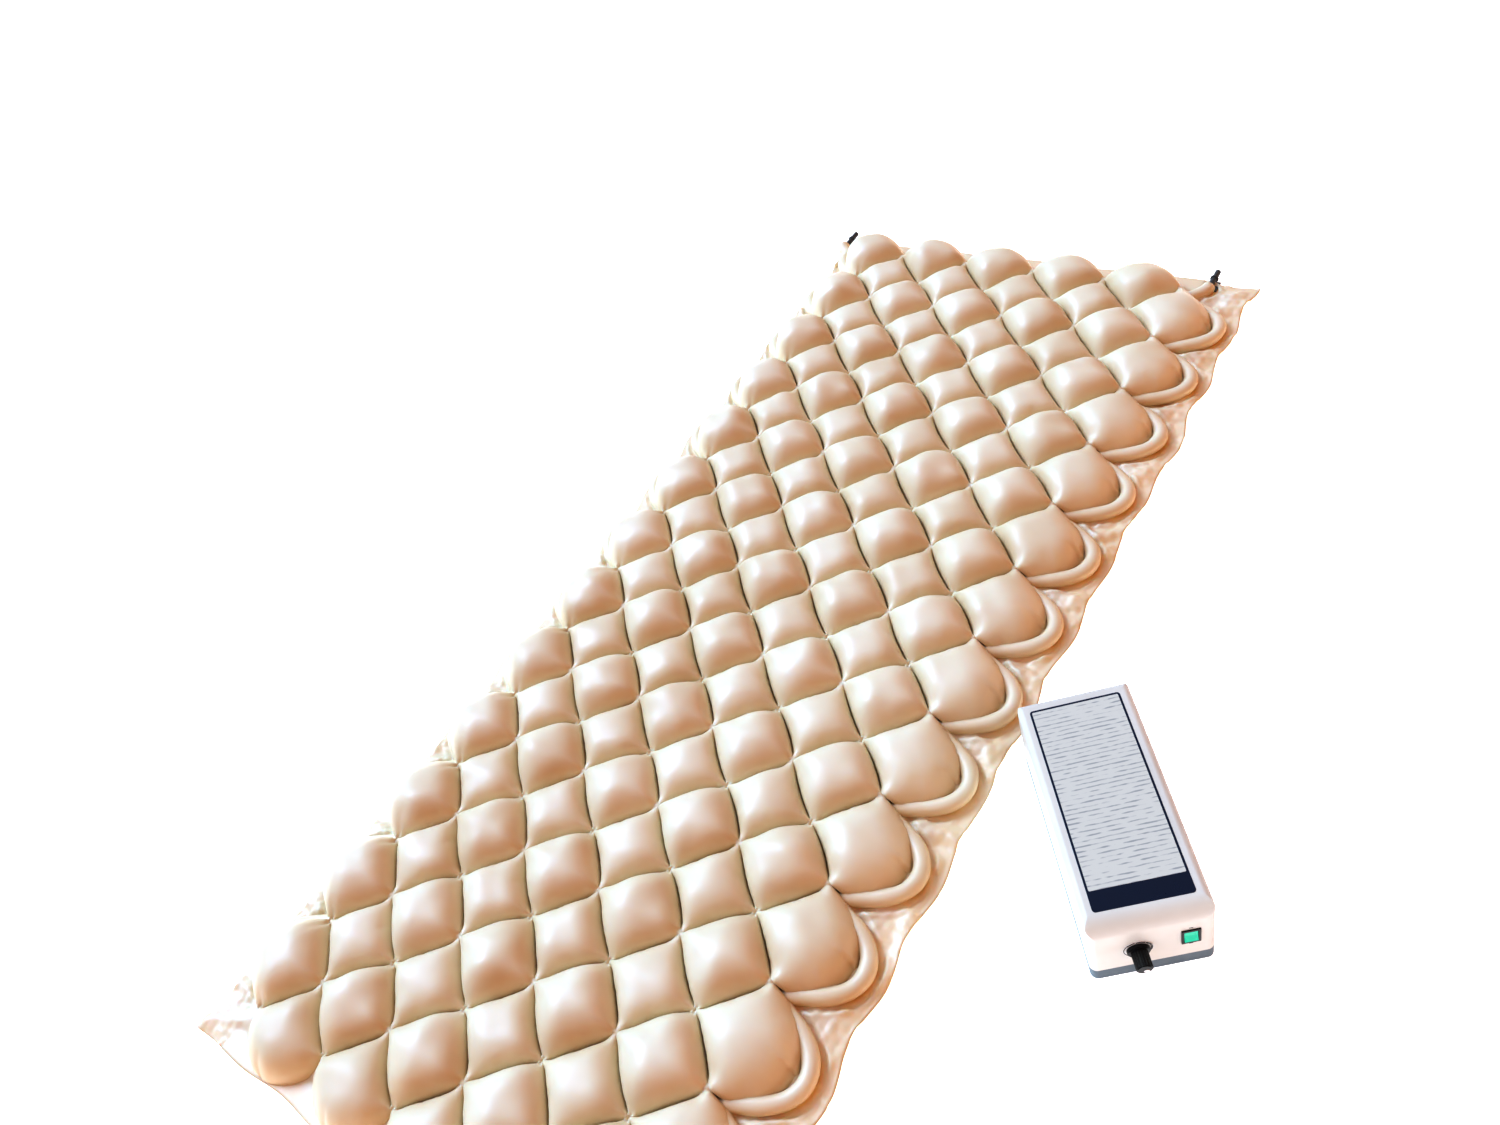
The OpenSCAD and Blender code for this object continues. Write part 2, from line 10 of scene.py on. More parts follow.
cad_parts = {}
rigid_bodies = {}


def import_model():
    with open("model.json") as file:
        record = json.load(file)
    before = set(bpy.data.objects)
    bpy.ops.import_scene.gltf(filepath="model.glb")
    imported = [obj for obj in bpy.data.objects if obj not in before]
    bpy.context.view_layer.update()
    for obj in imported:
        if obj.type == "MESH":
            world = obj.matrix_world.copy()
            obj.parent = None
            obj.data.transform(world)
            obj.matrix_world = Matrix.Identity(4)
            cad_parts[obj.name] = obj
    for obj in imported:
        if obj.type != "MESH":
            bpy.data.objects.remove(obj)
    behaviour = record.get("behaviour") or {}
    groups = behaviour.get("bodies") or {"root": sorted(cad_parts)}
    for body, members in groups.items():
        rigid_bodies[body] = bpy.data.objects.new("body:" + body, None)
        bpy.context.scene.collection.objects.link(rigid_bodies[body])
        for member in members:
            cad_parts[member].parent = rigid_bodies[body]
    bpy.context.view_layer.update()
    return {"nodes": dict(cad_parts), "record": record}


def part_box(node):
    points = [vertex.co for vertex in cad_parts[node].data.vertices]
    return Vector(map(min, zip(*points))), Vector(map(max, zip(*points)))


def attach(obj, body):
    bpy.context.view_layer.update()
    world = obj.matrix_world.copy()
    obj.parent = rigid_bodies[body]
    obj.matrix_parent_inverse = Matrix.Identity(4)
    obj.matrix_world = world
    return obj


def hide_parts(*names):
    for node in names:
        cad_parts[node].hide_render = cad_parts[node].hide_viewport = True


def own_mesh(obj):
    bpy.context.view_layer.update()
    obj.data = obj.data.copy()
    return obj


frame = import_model()
NODES = frame["nodes"]

# ---------- driving sizes, in metres ----------
PITCH = 0.140
COLUMNS, ROWS = 5, 13
# the outermost bubble centres
X_EDGE = (COLUMNS / 2 - 0.25) * PITCH
Y_EDGE = (ROWS / 2 - 0.25) * PITCH
# a bubble is a square on its corner: half its diagonal, and half its side
HALF = PITCH / 2
HALF_SIDE = PITCH / math.sqrt(8)
PAD_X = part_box("bottom_sheet")[1].x
PAD_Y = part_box("bottom_sheet")[1].y
# heights of the seams, of the free rims, and how far a saddle stands over the seams
WELD_Z, RIM_Z = 0.022, 0.004
BRIDGE = 0.017
# crown heights of the two circuits, and how square their bubbles are
TOP_A, TOP_B = 0.067, 0.054
FULL_A, FULL_B = 2.5, 3.0
NEAR_BULGE, FAR_BULGE = 0.062, 0.050
LEAN = 0.006
CHANNEL_R = 0.0115
CHANNEL_Z = 0.0125
# by side of the pad: the left margin lies drawn in, half under its bubbles
SIDE_BULGE = {-1: 0.062, 1: 0.077}
SWING_X = {-1: X_EDGE + 0.0400, 1: X_EDGE + 0.0505}
SWING = {-1: 0.0325, 1: 0.0395}
EDGE_X = {-1: 0.400, 1: PAD_X}
# names of the vinyl pieces, which the window sun lights
VINYL = ("bubbles_a", "bubbles_b", "side_channel_a", "side_channel_b", "pad_sheet")


# ---------- camera, stage and light ----------
def make_camera():
    lens_px, width_px, sensor_mm = 1166.0, 1500.0, 36.0
    azimuth, elevation, roll = (math.radians(a) for a in (48.63, 44.29, -21.74))
    back = Vector((math.sin(azimuth) * math.cos(elevation), -math.cos(azimuth) * math.cos(elevation),
                   math.sin(elevation)))
    right = Vector((math.cos(azimuth), math.sin(azimuth), 0))
    up = back.cross(right)
    turned_right = right * math.cos(roll) + up * math.sin(roll)
    turned_up = up * math.cos(roll) - right * math.sin(roll)
    data = bpy.data.cameras.new("camera")
    data.sensor_width = sensor_mm
    data.lens = lens_px * sensor_mm / width_px
    data.clip_end = 50
    camera = bpy.data.objects.new("camera", data)
    bpy.context.scene.collection.objects.link(camera)
    axes = Matrix((turned_right, turned_up, back)).transposed().to_4x4()
    camera.matrix_world = Matrix.Translation((0.925, -0.845, 1.356)) @ axes
    bpy.context.scene.camera = camera


def glowing_white(name, grey, strength):
    material, _, shader = new_material(name)
    shader.inputs["Base Color"].default_value = (grey, grey, grey, 1)
    shader.inputs["Emission Color"].default_value = (1.0, 1.0, 1.0, 1)
    shader.inputs["Emission Strength"].default_value = strength
    return material, shader


def make_stage():
    bpy.ops.mesh.primitive_plane_add(size=30, location=(0, 0, -0.0005))
    floor = bpy.context.object
    floor.name = "floor"
    material, shader = glowing_white("floor_white", 0.93, 0.75)
    shader.inputs["Roughness"].default_value = 0.9
    floor.data.materials.append(material)
    backdrop = make_backdrop()
    make_sky()
    view = bpy.context.scene.view_settings
    view.view_transform = "Standard"
    view.exposure = 0.20
    view.gamma = 0.60


def make_backdrop():
    """A white dome that is seen, but neither lights the scene nor holds back the sky's light."""
    bpy.ops.mesh.primitive_uv_sphere_add(radius=14, location=(0, 0, 0))
    backdrop = bpy.context.object
    backdrop.name = "backdrop"
    paper, _ = glowing_white("backdrop_white", 1.0, 1.0)
    backdrop.data.materials.append(paper)
    backdrop.visible_diffuse = False
    backdrop.visible_glossy = False
    backdrop.visible_transmission = False
    backdrop.visible_shadow = False
    return backdrop


def add_sun(name, towards, energy, spread, colour, lit):
    """A sun shining from a direction on the objects of one collection."""
    sun = bpy.data.lights.new(name, "SUN")
    sun.energy = energy
    sun.angle = math.radians(spread)
    sun.color = colour
    lamp = bpy.data.objects.new(name, sun)
    bpy.context.scene.collection.objects.link(lamp)
    lamp.rotation_euler = Vector(towards).to_track_quat("Z", "Y").to_euler()
    lamp.light_linking.receiver_collection = lit


def make_sky():
    """A warm, dim room with one wide, cool bright side, towards -X, as from a wall of windows."""
    world = bpy.data.worlds.new("studio")
    bpy.context.scene.world = world
    world.use_nodes = True
    tree = world.node_tree
    background = tree.nodes["Background"]
    coords = add_node(tree, "ShaderNodeTexCoord").outputs["Generated"]
    towards = add_node(tree, "ShaderNodeVectorMath", operation="DOT_PRODUCT")
    towards.inputs[1].default_value = Vector((-0.70, 0.05, 0.66)).normalized()
    tree.links.new(coords, towards.inputs[0])
    ramp = add_node(tree, "ShaderNodeValToRGB")
    ramp.color_ramp.interpolation = "EASE"
    dim, bright = ramp.color_ramp.elements
    dim.position = 0.10
    bright.position = 0.95
    dim.color = (0.54, 0.20, 0.01, 1)
    bright.color = (0.66, 0.93, 1.34, 1)
    tree.links.new(towards.outputs["Value"], ramp.inputs["Fac"])
    tree.links.new(ramp.outputs["Color"], background.inputs["Color"])
    background.inputs["Strength"].default_value = 1.12


# ---------- materials ----------
def new_material(name):
    material = bpy.data.materials.new(name)
    material.use_nodes = True
    tree = material.node_tree
    return material, tree, tree.nodes["Principled BSDF"]


def add_node(tree, kind, inputs=None, **settings):
    node = tree.nodes.new(kind)
    for key, value in settings.items():
        setattr(node, key, value)
    for key, value in (inputs or {}).items():
        node.inputs[key].default_value = value
    return node


def noise_ramp(tree, coords, scale, low, high, detail=3.0, span=(0.35, 0.65)):
    """A noise that runs between two colours."""
    source = add_node(tree, "ShaderNodeTexNoise", {"Scale": scale, "Detail": detail})
    tree.links.new(coords, source.inputs["Vector"])
    ramp = add_node(tree, "ShaderNodeValToRGB")
    ramp.color_ramp.elements[0].position, ramp.color_ramp.elements[1].position = span
    ramp.color_ramp.elements[0].color = (*low, 1)
    ramp.color_ramp.elements[1].color = (*high, 1)
    tree.links.new(source.outputs["Fac"], ramp.inputs["Fac"])
    return source, ramp


def add_bump(tree, shader, height, strength, distance):
    bump = add_node(tree, "ShaderNodeBump", {"Strength": strength, "Distance": distance})
    tree.links.new(height, bump.inputs["Height"])
    tree.links.new(bump.outputs["Normal"], shader.inputs["Normal"])


def pvc_material(name, low, high):
    """Soft beige vinyl: faint mottling, a fine matt grain and a broad gloss."""
    material, tree, shader = new_material(name)
    coords = add_node(tree, "ShaderNodeTexCoord").outputs["Object"]
    _, colour = noise_ramp(tree, coords, 9.0, low, high)
    tree.links.new(colour.outputs["Color"], shader.inputs["Base Color"])
    _, rough = noise_ramp(tree, coords, 22.0, (0.38,) * 3, (0.50,) * 3)
    tree.links.new(rough.outputs["Color"], shader.inputs["Roughness"])
    shader.inputs["Specular IOR Level"].default_value = 0.45
    shader.inputs["Coat Weight"].default_value = 0.2
    shader.inputs["Coat Roughness"].default_value = 0.45
    shader.inputs["Coat IOR"].default_value = 1.6
    shader.inputs["Subsurface Weight"].default_value = 0.15
    shader.inputs["Subsurface Radius"].default_value = (1.0, 0.50, 0.25)
    shader.inputs["Subsurface Scale"].default_value = 0.006
    grain = add_node(tree, "ShaderNodeTexNoise", {"Scale": 900.0, "Detail": 2.0})
    tree.links.new(coords, grain.inputs["Vector"])
    add_bump(tree, shader, grain.outputs["Fac"], 0.12, 0.0006)
    return material


def plastic_material(name, colour, roughness, grain_scale=1400.0, grain=0.10, **settings):
    """Moulded plastic with a fine spark-eroded grain and slight tone drift."""
    material, tree, shader = new_material(name)
    coords = add_node(tree, "ShaderNodeTexCoord").outputs["Object"]
    low = tuple(c * 0.95 for c in colour)
    _, tone = noise_ramp(tree, coords, 14.0, low, colour)
    tree.links.new(tone.outputs["Color"], shader.inputs["Base Color"])
    _, rough = noise_ramp(tree, coords, 60.0, (roughness * 0.9,) * 3, (min(1, roughness * 1.15),) * 3)
    tree.links.new(rough.outputs["Color"], shader.inputs["Roughness"])
    texture = add_node(tree, "ShaderNodeTexNoise", {"Scale": grain_scale, "Detail": 1.0})
    tree.links.new(coords, texture.inputs["Vector"])
    add_bump(tree, shader, texture.outputs["Fac"], grain, 0.0004)
    for key, value in settings.items():
        shader.inputs[key.replace("_", " ")].default_value = value
    return material


def metal_material(name, colour, roughness):
    """Drawn or machined metal with streaks along one axis."""
    material, tree, shader = new_material(name)
    coords = add_node(tree, "ShaderNodeTexCoord").outputs["Object"]
    stretch = add_node(tree, "ShaderNodeMapping", {"Scale": (1.0, 1.0, 14.0)})
    tree.links.new(coords, stretch.inputs["Vector"])
    low = tuple(c * 0.82 for c in colour)
    streaks, tone = noise_ramp(tree, stretch.outputs["Vector"], 220.0, low, colour)
    tree.links.new(tone.outputs["Color"], shader.inputs["Base Color"])
    shader.inputs["Metallic"].default_value = 1.0
    shader.inputs["Roughness"].default_value = roughness
    add_bump(tree, shader, streaks.outputs["Fac"], 0.08, 0.0003)
    return material


# ---------- mesh helpers ----------
def mesh_object(name, points, faces, smooth=True, closed=False):
    mesh = bpy.data.meshes.new(name)
    mesh.from_pydata([tuple(p) for p in points], [], [tuple(f) for f in faces])
    if closed:
        form = bmesh.new()
        form.from_mesh(mesh)
        bmesh.ops.recalc_face_normals(form, faces=form.faces)
        form.to_mesh(mesh)
        form.free()
    mesh.validate()
    mesh.update()
    if smooth:
        mesh.polygons.foreach_set("use_smooth", [True] * len(mesh.polygons))
    obj = bpy.data.objects.new(name, mesh)
    bpy.context.scene.collection.objects.link(obj)
    return obj


def grid_faces(columns, rows, start=0, flip=False):
    """Quads of a columns x rows lattice of points, stored row by row."""
    i, j = np.meshgrid(np.arange(columns - 1), np.arange(rows - 1))
    first = (start + j * columns + i).ravel()
    quads = np.stack([first, first + 1, first + columns + 1, first + columns], 1)
    return quads[:, ::-1] if flip else quads


def smooth_noise(x, y, scale, seed):
    """Soft noise from a few crossed waves, -1 to 1, the same at every run."""
    waves = np.random.default_rng(seed)
    total = np.zeros_like(np.asarray(x, float))
    for _ in range(7):
        angle = waves.uniform(0, 2 * np.pi)
        stretch = waves.uniform(0.6, 1.6)
        phase = waves.uniform(0, 2 * np.pi)
        across = x * np.cos(angle) + y * np.sin(angle)
        total += np.sin(across * stretch * 2 * np.pi / scale + phase)
    return total / 3.2


# ---------- the mattress ----------
def a_centres():
    return [(i * PITCH - X_EDGE, (k + 0.5) * PITCH - Y_EDGE) for k in range(ROWS) for i in range(COLUMNS)]


def b_centres():
    return [(x + HALF, y - HALF) for x, y in a_centres()]


def edge_bow(x, y):
    """How far a seam between an A and a B bubble bows towards B, by the seam's middle."""
    return 0.0032 + 0.0014 * smooth_noise(x, y, 0.09, 3)


def seam_height(x, y):
    """Height of the seams: low along the sides, raised where bubbles of one circuit join."""
    fx = (x + X_EDGE) / PITCH
    fy = (y + Y_EDGE) / PITCH
    joins_a = (fx - 0.5 - np.round(fx - 0.5), fy - 0.5 - np.round(fy - 0.5))
    joins_b = (fx - np.round(fx), fy - np.round(fy))
    wide = np.exp(-(joins_a[0] * PITCH / 0.030) ** 2 - (joins_a[1] * PITCH / 0.0125) ** 2)
    tight = np.exp(-(joins_b[0] * PITCH / 0.015) ** 2 - (joins_b[1] * PITCH / 0.006) ** 2)
    pucker = np.exp(-(joins_b[0] * PITCH / 0.0016) ** 2 - (joins_b[1] * PITCH / 0.008) ** 2)
    return WELD_Z + BRIDGE * wide + 0.010 * tight - 0.004 * pucker


def lattice(count):
    """Points of a square from -1 to 1, closer together near its rim."""
    t = np.sin(np.linspace(-1, 1, count) * np.pi / 2)
    return np.meshgrid(t, t)


def blown_patch(top, full, seed, count=33):
    """A square of vinyl, welded along its rim and blown up by cloth simulation.

    Gives its sideways shifts and its height at each lattice point, in shares of its half side and crown."""
    u, v = lattice(count)
    crown = np.sqrt(np.clip((1 - np.abs(u) ** full) * (1 - np.abs(v) ** full), 0, 1))
    crown *= 1 - 0.9 * ((u ** 4 + v ** 4) / 2) ** 2
    # simulated at about ten times its real size, where cloth settles best
    half = 0.5
    steep = (top - WELD_Z) / HALF_SIDE
    uneven = 1 + 0.06 * smooth_noise(u, v, 1.6, seed)
    start = np.stack([u * half, v * half, steep * half * crown * uneven], 2)
    patch = mesh_object("patch", start.reshape(-1, 3), grid_faces(count, count))
    welded = np.flatnonzero((np.maximum(np.abs(u), np.abs(v)) > 0.9999).ravel())
    patch.vertex_groups.new(name="weld").add(welded.tolist(), 1, "REPLACE")
    cloth = patch.modifiers.new("cloth", "CLOTH")
    cloth.collision_settings.use_collision = False
    vinyl = cloth.settings
    vinyl.quality = 8
    vinyl.mass = 0.3
    vinyl.vertex_group_mass = "weld"
    vinyl.tension_stiffness = 25
    vinyl.compression_stiffness = 25
    vinyl.shear_stiffness = 10
    vinyl.bending_stiffness = 0.6
    vinyl.use_pressure = True
    vinyl.uniform_pressure_force = 6
    # a little more vinyl than the dome needs, for its wrinkles
    vinyl.shrink_min = -0.04
    vinyl.effector_weights.gravity = 0
    for step in range(1, 22):
        bpy.context.scene.frame_set(step)
    settled = patch.evaluated_get(bpy.context.evaluated_depsgraph_get())
    ends = np.array([vertex.co[:] for vertex in settled.data.vertices]).reshape(count, count, 3)
    bpy.data.objects.remove(patch)
    bpy.context.scene.frame_set(1)
    return ends[..., 0] / half - u, ends[..., 1] / half - v, ends[..., 2] / (steep * half)


def turned_patch(patch, way):
    """One of the eight turned and mirrored copies of a patch."""
    du, dv, height = patch
    for _ in range(way % 4):
        du, dv, height = (np.rot90(g) for g in (du, dv, height))
        du, dv = dv, -du
    if way >= 4:
        du, dv, height = -du[:, ::-1], dv[:, ::-1], height[:, ::-1]
    return du, dv, height


def bubble_points(centre, top, patches, bow_sign, seed, count=33):
    """The surface of one inflated bubble on a count x count lattice."""
    rng = np.random.default_rng(seed)
    cx, cy = centre
    du, dv, crown = turned_patch(patches[seed % len(patches)], int(rng.integers(8)))
    u, v = lattice(count)
    inner = np.maximum(np.abs(u), np.abs(v)) < 0.9999
    u = np.where(inner, np.clip(u + 0.4 * du, -0.985, 0.985), u)
    v = np.where(inner, np.clip(v + 0.4 * dv, -0.985, 0.985), v)
    root = math.sqrt(0.5)
    e1, e2 = np.array([root, root]), np.array([-root, root])

    def bow(su, sv):
        middle = (cx + HALF_SIDE * (su * e1[0] + sv * e2[0]), cy + HALF_SIDE * (su * e1[1] + sv * e2[1]))
        outside = abs(middle[0]) > X_EDGE or abs(middle[1]) > Y_EDGE
        return 0.0 if outside else bow_sign * float(edge_bow(*middle))

    bow_u = np.where(u > 0, bow(1, 0), bow(-1, 0)) * np.sign(u) * np.abs(u) ** 3 * (1 - v ** 2)
    bow_v = np.where(v > 0, bow(0, 1), bow(0, -1)) * np.sign(v) * np.abs(v) ** 3 * (1 - u ** 2)
    along_u, along_v = u * HALF_SIDE + bow_u, v * HALF_SIDE + bow_v
    x = along_u * e1[0] + along_v * e2[0]
    y = along_u * e1[1] + along_v * e2[1]
    x, y = round_outwards(x, y, centre)
    gx, gy = x + cx, y + cy
    seam = seam_height(gx, gy) - (WELD_Z - RIM_Z) * outer_edge(gx, gy, u, v, centre)
    rise = (top - WELD_Z) * rng.uniform(0.96, 1.03)
    dents = 0.0007 * smooth_noise(gx, gy, 0.05, 11) * crown
    edge = np.clip(1 - np.maximum(np.abs(u), np.abs(v)), 0, 1)
    folds = 0.0011 * np.sin(smooth_noise(gx, gy, 0.02, 5) * 4) * np.exp(-(edge / 0.10) ** 2) * crown
    z = seam + (rise * crown + dents + folds) * (1 - 0.25 * (seam - WELD_Z) / BRIDGE)
    return np.stack([gx.ravel(), gy.ravel(), z.ravel()], 1)


def round_outwards(x, y, centre):
    """Rounds the outer quarters of the bubbles along the sides and ends of the pad."""
    cx, cy = centre
    side = np.sign(cx) if abs(cx) > X_EDGE - 0.001 else 0
    end = np.sign(cy) if abs(cy) > Y_EDGE - 0.001 else 0
    if not side and not end:
        return x, y
    reach_x = np.where(np.sign(x) == side, SIDE_BULGE[side], HALF) if side else np.full_like(x, HALF)
    end_bulge = FAR_BULGE if end > 0 else NEAR_BULGE
    reach_y = np.where(np.sign(y) == end, end_bulge, HALF) if end else np.full_like(y, HALF)
    outer = np.zeros_like(x, bool)
    if side:
        outer |= np.sign(x) == side
    if end:
        outer |= np.sign(y) == end
    radius = np.hypot(x, y) + 1e-12
    c, s = np.abs(x) / radius, np.abs(y) / radius
    diamond = HALF / (c + s)
    ellipse = 1 / np.sqrt((c / reach_x) ** 2 + (s / reach_y) ** 2)
    share = np.clip(radius / diamond, 0, 1)
    factor = np.where(outer, 1 + (ellipse / diamond - 1) * share ** 1.5, 1)
    lean = side * LEAN * share ** 2 * np.clip(side * x / HALF, 0, 1)
    return x * factor, y * factor - lean


def outer_edge(x, y, u, v, centre):
    """1 at the free rim of an edge bubble, 0 at its seams with other bubbles."""
    cx, cy = centre
    side = np.sign(cx) if abs(cx) > X_EDGE - 0.001 else 0
    end = np.sign(cy) if abs(cy) > Y_EDGE - 0.001 else 0
    out = np.maximum(side * (x - cx), end * (y - cy)) / HALF
    rim = np.maximum(np.abs(u), np.abs(v)) ** 6
    return np.clip(out * 2.2, 0, 1) * rim


def bubbles(name, centres, top, full, bow_sign, seed):
    points, faces, count = [], [], 33
    patches = [blown_patch(top, full, seed + n, count) for n in range(3)]
    for n, centre in enumerate(centres):
        faces.append(grid_faces(count, count, start=n * count * count))
        points.append(bubble_points(centre, top, patches, bow_sign, seed + n, count))
    return mesh_object(name, np.concatenate(points), np.concatenate(faces))


def channel_line(side):
    """Centre line of a side air channel: out round each edge bubble, in between two, then to its inlet.

    The left one is the right one turned half round, except for its last swing, which runs straight on."""
    steps = 40
    half_turn = steps // 2
    if side > 0:
        turn = np.arange(3 - half_turn, steps * (ROWS - 1) + half_turn - 6) * 2 * np.pi / steps
    else:
        turn = np.arange(6 - half_turn, steps * (ROWS - 1) + 1) * 2 * np.pi / steps
    x = SWING_X[side] + SWING[side] * np.cos(turn)
    along = PITCH * turn / (2 * np.pi) + 0.0135 * np.sin(turn) + 0.0015 * np.sin(2 * turn)
    y = Y_EDGE - HALF - LEAN - along
    line = np.stack([x, y], 1) * side
    if side > 0:
        line = line[::-1]
    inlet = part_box("air_inlet_b" if side > 0 else "air_inlet_a")
    goal = np.array([(inlet[0].x + inlet[1].x) / 2, PAD_Y - 0.027])
    return np.concatenate([line, curve_to(line[-1], line[-1] - line[-2], goal, 12)])


def curve_to(start, heading, goal, count):
    """A smooth run from start, leaving along heading, to goal, arriving along +Y."""
    reach = np.linalg.norm(goal - start) * 0.45
    near = start + heading / np.linalg.norm(heading) * reach
    far = goal - np.array([0, reach])
    t = np.linspace(0, 1, count + 1)[1:, None]
    return ((1 - t) ** 3 * start + 3 * (1 - t) ** 2 * t * near + 3 * (1 - t) * t ** 2 * far + t ** 3 * goal)


def channel(name, side):
    """A round tube along a side's channel line, narrower at its closed start."""
    line = channel_line(side)
    ahead = np.gradient(line, axis=0)
    ahead /= np.linalg.norm(ahead, axis=1)[:, None]
    across = np.stack([ahead[:, 1], -ahead[:, 0]], 1)
    sides = 20
    rings = []
    for n, (p, a) in enumerate(zip(line, across)):
        wobble = 1 + 0.05 * float(smooth_noise(p[0], p[1], 0.05, 21))
        taper = min(1.0, 0.25 + 0.2 * min(n, len(line) - 1 - n))
        r = CHANNEL_R * wobble * (taper if n < 6 else 1)
        for s in range(sides):
            angle = 2 * math.pi * s / sides
            rings.append((p[0] + a[0] * r * math.cos(angle), p[1] + a[1] * r * math.cos(angle),
                          CHANNEL_Z + r * 0.98 * math.sin(angle)))
    faces = []
    for n in range(len(line) - 1):
        for s in range(sides):
            a, b = n * sides + s, n * sides + (s + 1) % sides
            faces.append((a, a + sides, b + sides, b))
    last = (len(line) - 1) * sides
    faces += [tuple(range(sides)), tuple(last + s for s in reversed(range(sides)))]
    return mesh_object(name, rings, faces, closed=True)


def distance_to(line, x, y):
    """Distance from each point to the nearest point of a line."""
    best = np.full(x.shape, 1e9)
    for px, py in line:
        best = np.minimum(best, (x - px) ** 2 + (y - py) ** 2)
    return np.sqrt(best)


def pad_sheet():
    """The two welded sheets: the margin with its folds, the seams' bed and the pillowed underside."""
    fine, coarse, inner = 0.0032, 0.007, 0.300
    margin = np.arange(inner, PAD_X + 0.0001, fine)
    xs = np.concatenate([-margin[::-1], np.arange(-inner + coarse, inner - coarse / 2, coarse), margin])
    ys = np.linspace(-PAD_Y, PAD_Y, int(2 * PAD_Y / fine))
    x, y = np.meshgrid(xs, ys)
    side = np.sign(x)
    phase = np.where(side < 0, y + Y_EDGE - HALF, y + Y_EDGE) / PITCH
    reach = np.where(side < 0, EDGE_X[-1], EDGE_X[1])
    edge_x = reach + 0.004 + 0.005 * np.cos(2 * np.pi * phase) + 0.004 * smooth_noise(side * 9, y, 0.15, 31)
    outwards = np.clip((np.abs(x) - inner) / (PAD_X - inner), 0, 1)
    x = side * (np.abs(x) + outwards * (edge_x - PAD_X))
    edge_y = PAD_Y - 0.006 + 0.004 * smooth_noise(x, np.sign(y) * 5, 0.16, 33)
    ends = np.clip((np.abs(y) - 0.85) / (PAD_Y - 0.85), 0, 1)
    y = np.sign(y) * (np.abs(y) + ends * (edge_y - PAD_Y))
    top = sheet_height(x, y, side)
    under = underside(x, y, top)
    rows, columns = x.shape
    layers = (np.stack([x, y, z], 2).reshape(-1, 3) for z in (top, under))
    points = np.concatenate(list(layers))
    lower = rows * columns
    faces = [grid_faces(columns, rows), grid_faces(columns, rows, lower, flip=True)]
    rim = np.concatenate([np.arange(columns), np.arange(1, rows) * columns + columns - 1,
                          lower - 2 - np.arange(columns - 1), np.arange(rows - 2, 0, -1) * columns])
    after = np.roll(rim, -1)
    faces.append(np.stack([rim, rim + lower, after + lower, after], 1))
    return mesh_object("pad_sheet", points, np.concatenate(faces))


def ramp(value, start, length):
    """0 up to start, then a straight rise to 1 over a length."""
    return np.clip((value - start) / length, 0, 1)


def sheet_height(x, y, side):
    """Height of the upper sheet: the seams' bed inside, and a folded, falling margin outside."""
    abs_x = np.abs(x)
    abs_y = np.abs(y)
    bed = np.full(x.shape, WELD_Z - 0.002)
    near_channel = np.full(x.shape, 1.0)
    inside = np.zeros(x.shape, bool)
    for s in (-1, 1):
        line = channel_line(s)
        mask = (side == s) & (abs_x > 0.29)
        near_channel[mask] = distance_to(line, x[mask], y[mask])
        across = np.interp(y, line[:, 1], line[:, 0], left=s * 0.34, right=s * 0.34)
        inside |= (side == s) & (abs_x < np.abs(across))
    # the notches, where the channel turns in between two edge bubbles
    first = np.where(side < 0, 0.5, 0.0)
    scallop = (y + Y_EDGE) / PITCH - first
    from_notch = (scallop - 0.5 - np.round(scallop - 0.5)) * PITCH
    pocket_x = np.where(side < 0, SWING_X[-1] - SWING[-1], SWING_X[1] - SWING[1]) + 0.014
    out = abs_x - pocket_x
    reach = np.hypot(out, from_notch)
    angle = np.arctan2(from_notch, out)
    # the margin falls towards its edge
    edge = np.where(side < 0, EDGE_X[-1], EDGE_X[1])
    slope = np.minimum(np.clip((edge - abs_x) / 0.09, 0, 1), np.clip((PAD_Y - abs_y) / 0.05, 0, 1))
    flat = 0.0025 + 0.0095 * slope ** 0.8
    # folds fan out from the notches, and a hem and a groove follow the channel
    fan = np.cos(5 * angle + 2.2 * smooth_noise(x, y, 0.12, 41)) * np.clip(reach / 0.03, 0, 1)
    folds = 0.0030 * fan + 0.0022 * smooth_noise(x, y, 0.045, 43) + 0.0010 * smooth_noise(x, y, 0.018, 45)
    uneven = 0.55 + 0.45 * smooth_noise(x, y, 0.07, 47)
    hem = 0.0032 * np.exp(-((near_channel - 0.0205) / 0.0026) ** 2) * uneven
    groove = -0.004 * np.exp(-((near_channel - 0.0135) / 0.003) ** 2)
    pocket = -0.009 * np.exp(-((out - 0.010) / 0.010) ** 2 - (from_notch / 0.008) ** 2)
    folded = np.maximum(ramp(abs_x, 0.30, 0.03), ramp(abs_y, 0.88, 0.02))
    lifted = flat + (folds + hem + groove + pocket) * folded
    margin = np.maximum(ramp(abs_x, 0.315, 0.05), ramp(abs_y, 0.885, 0.03))
    height = bed * (1 - margin) + lifted * margin
    height = np.where(inside, np.maximum(height, 0.0115), height)
    return np.maximum(height, 0.0018)


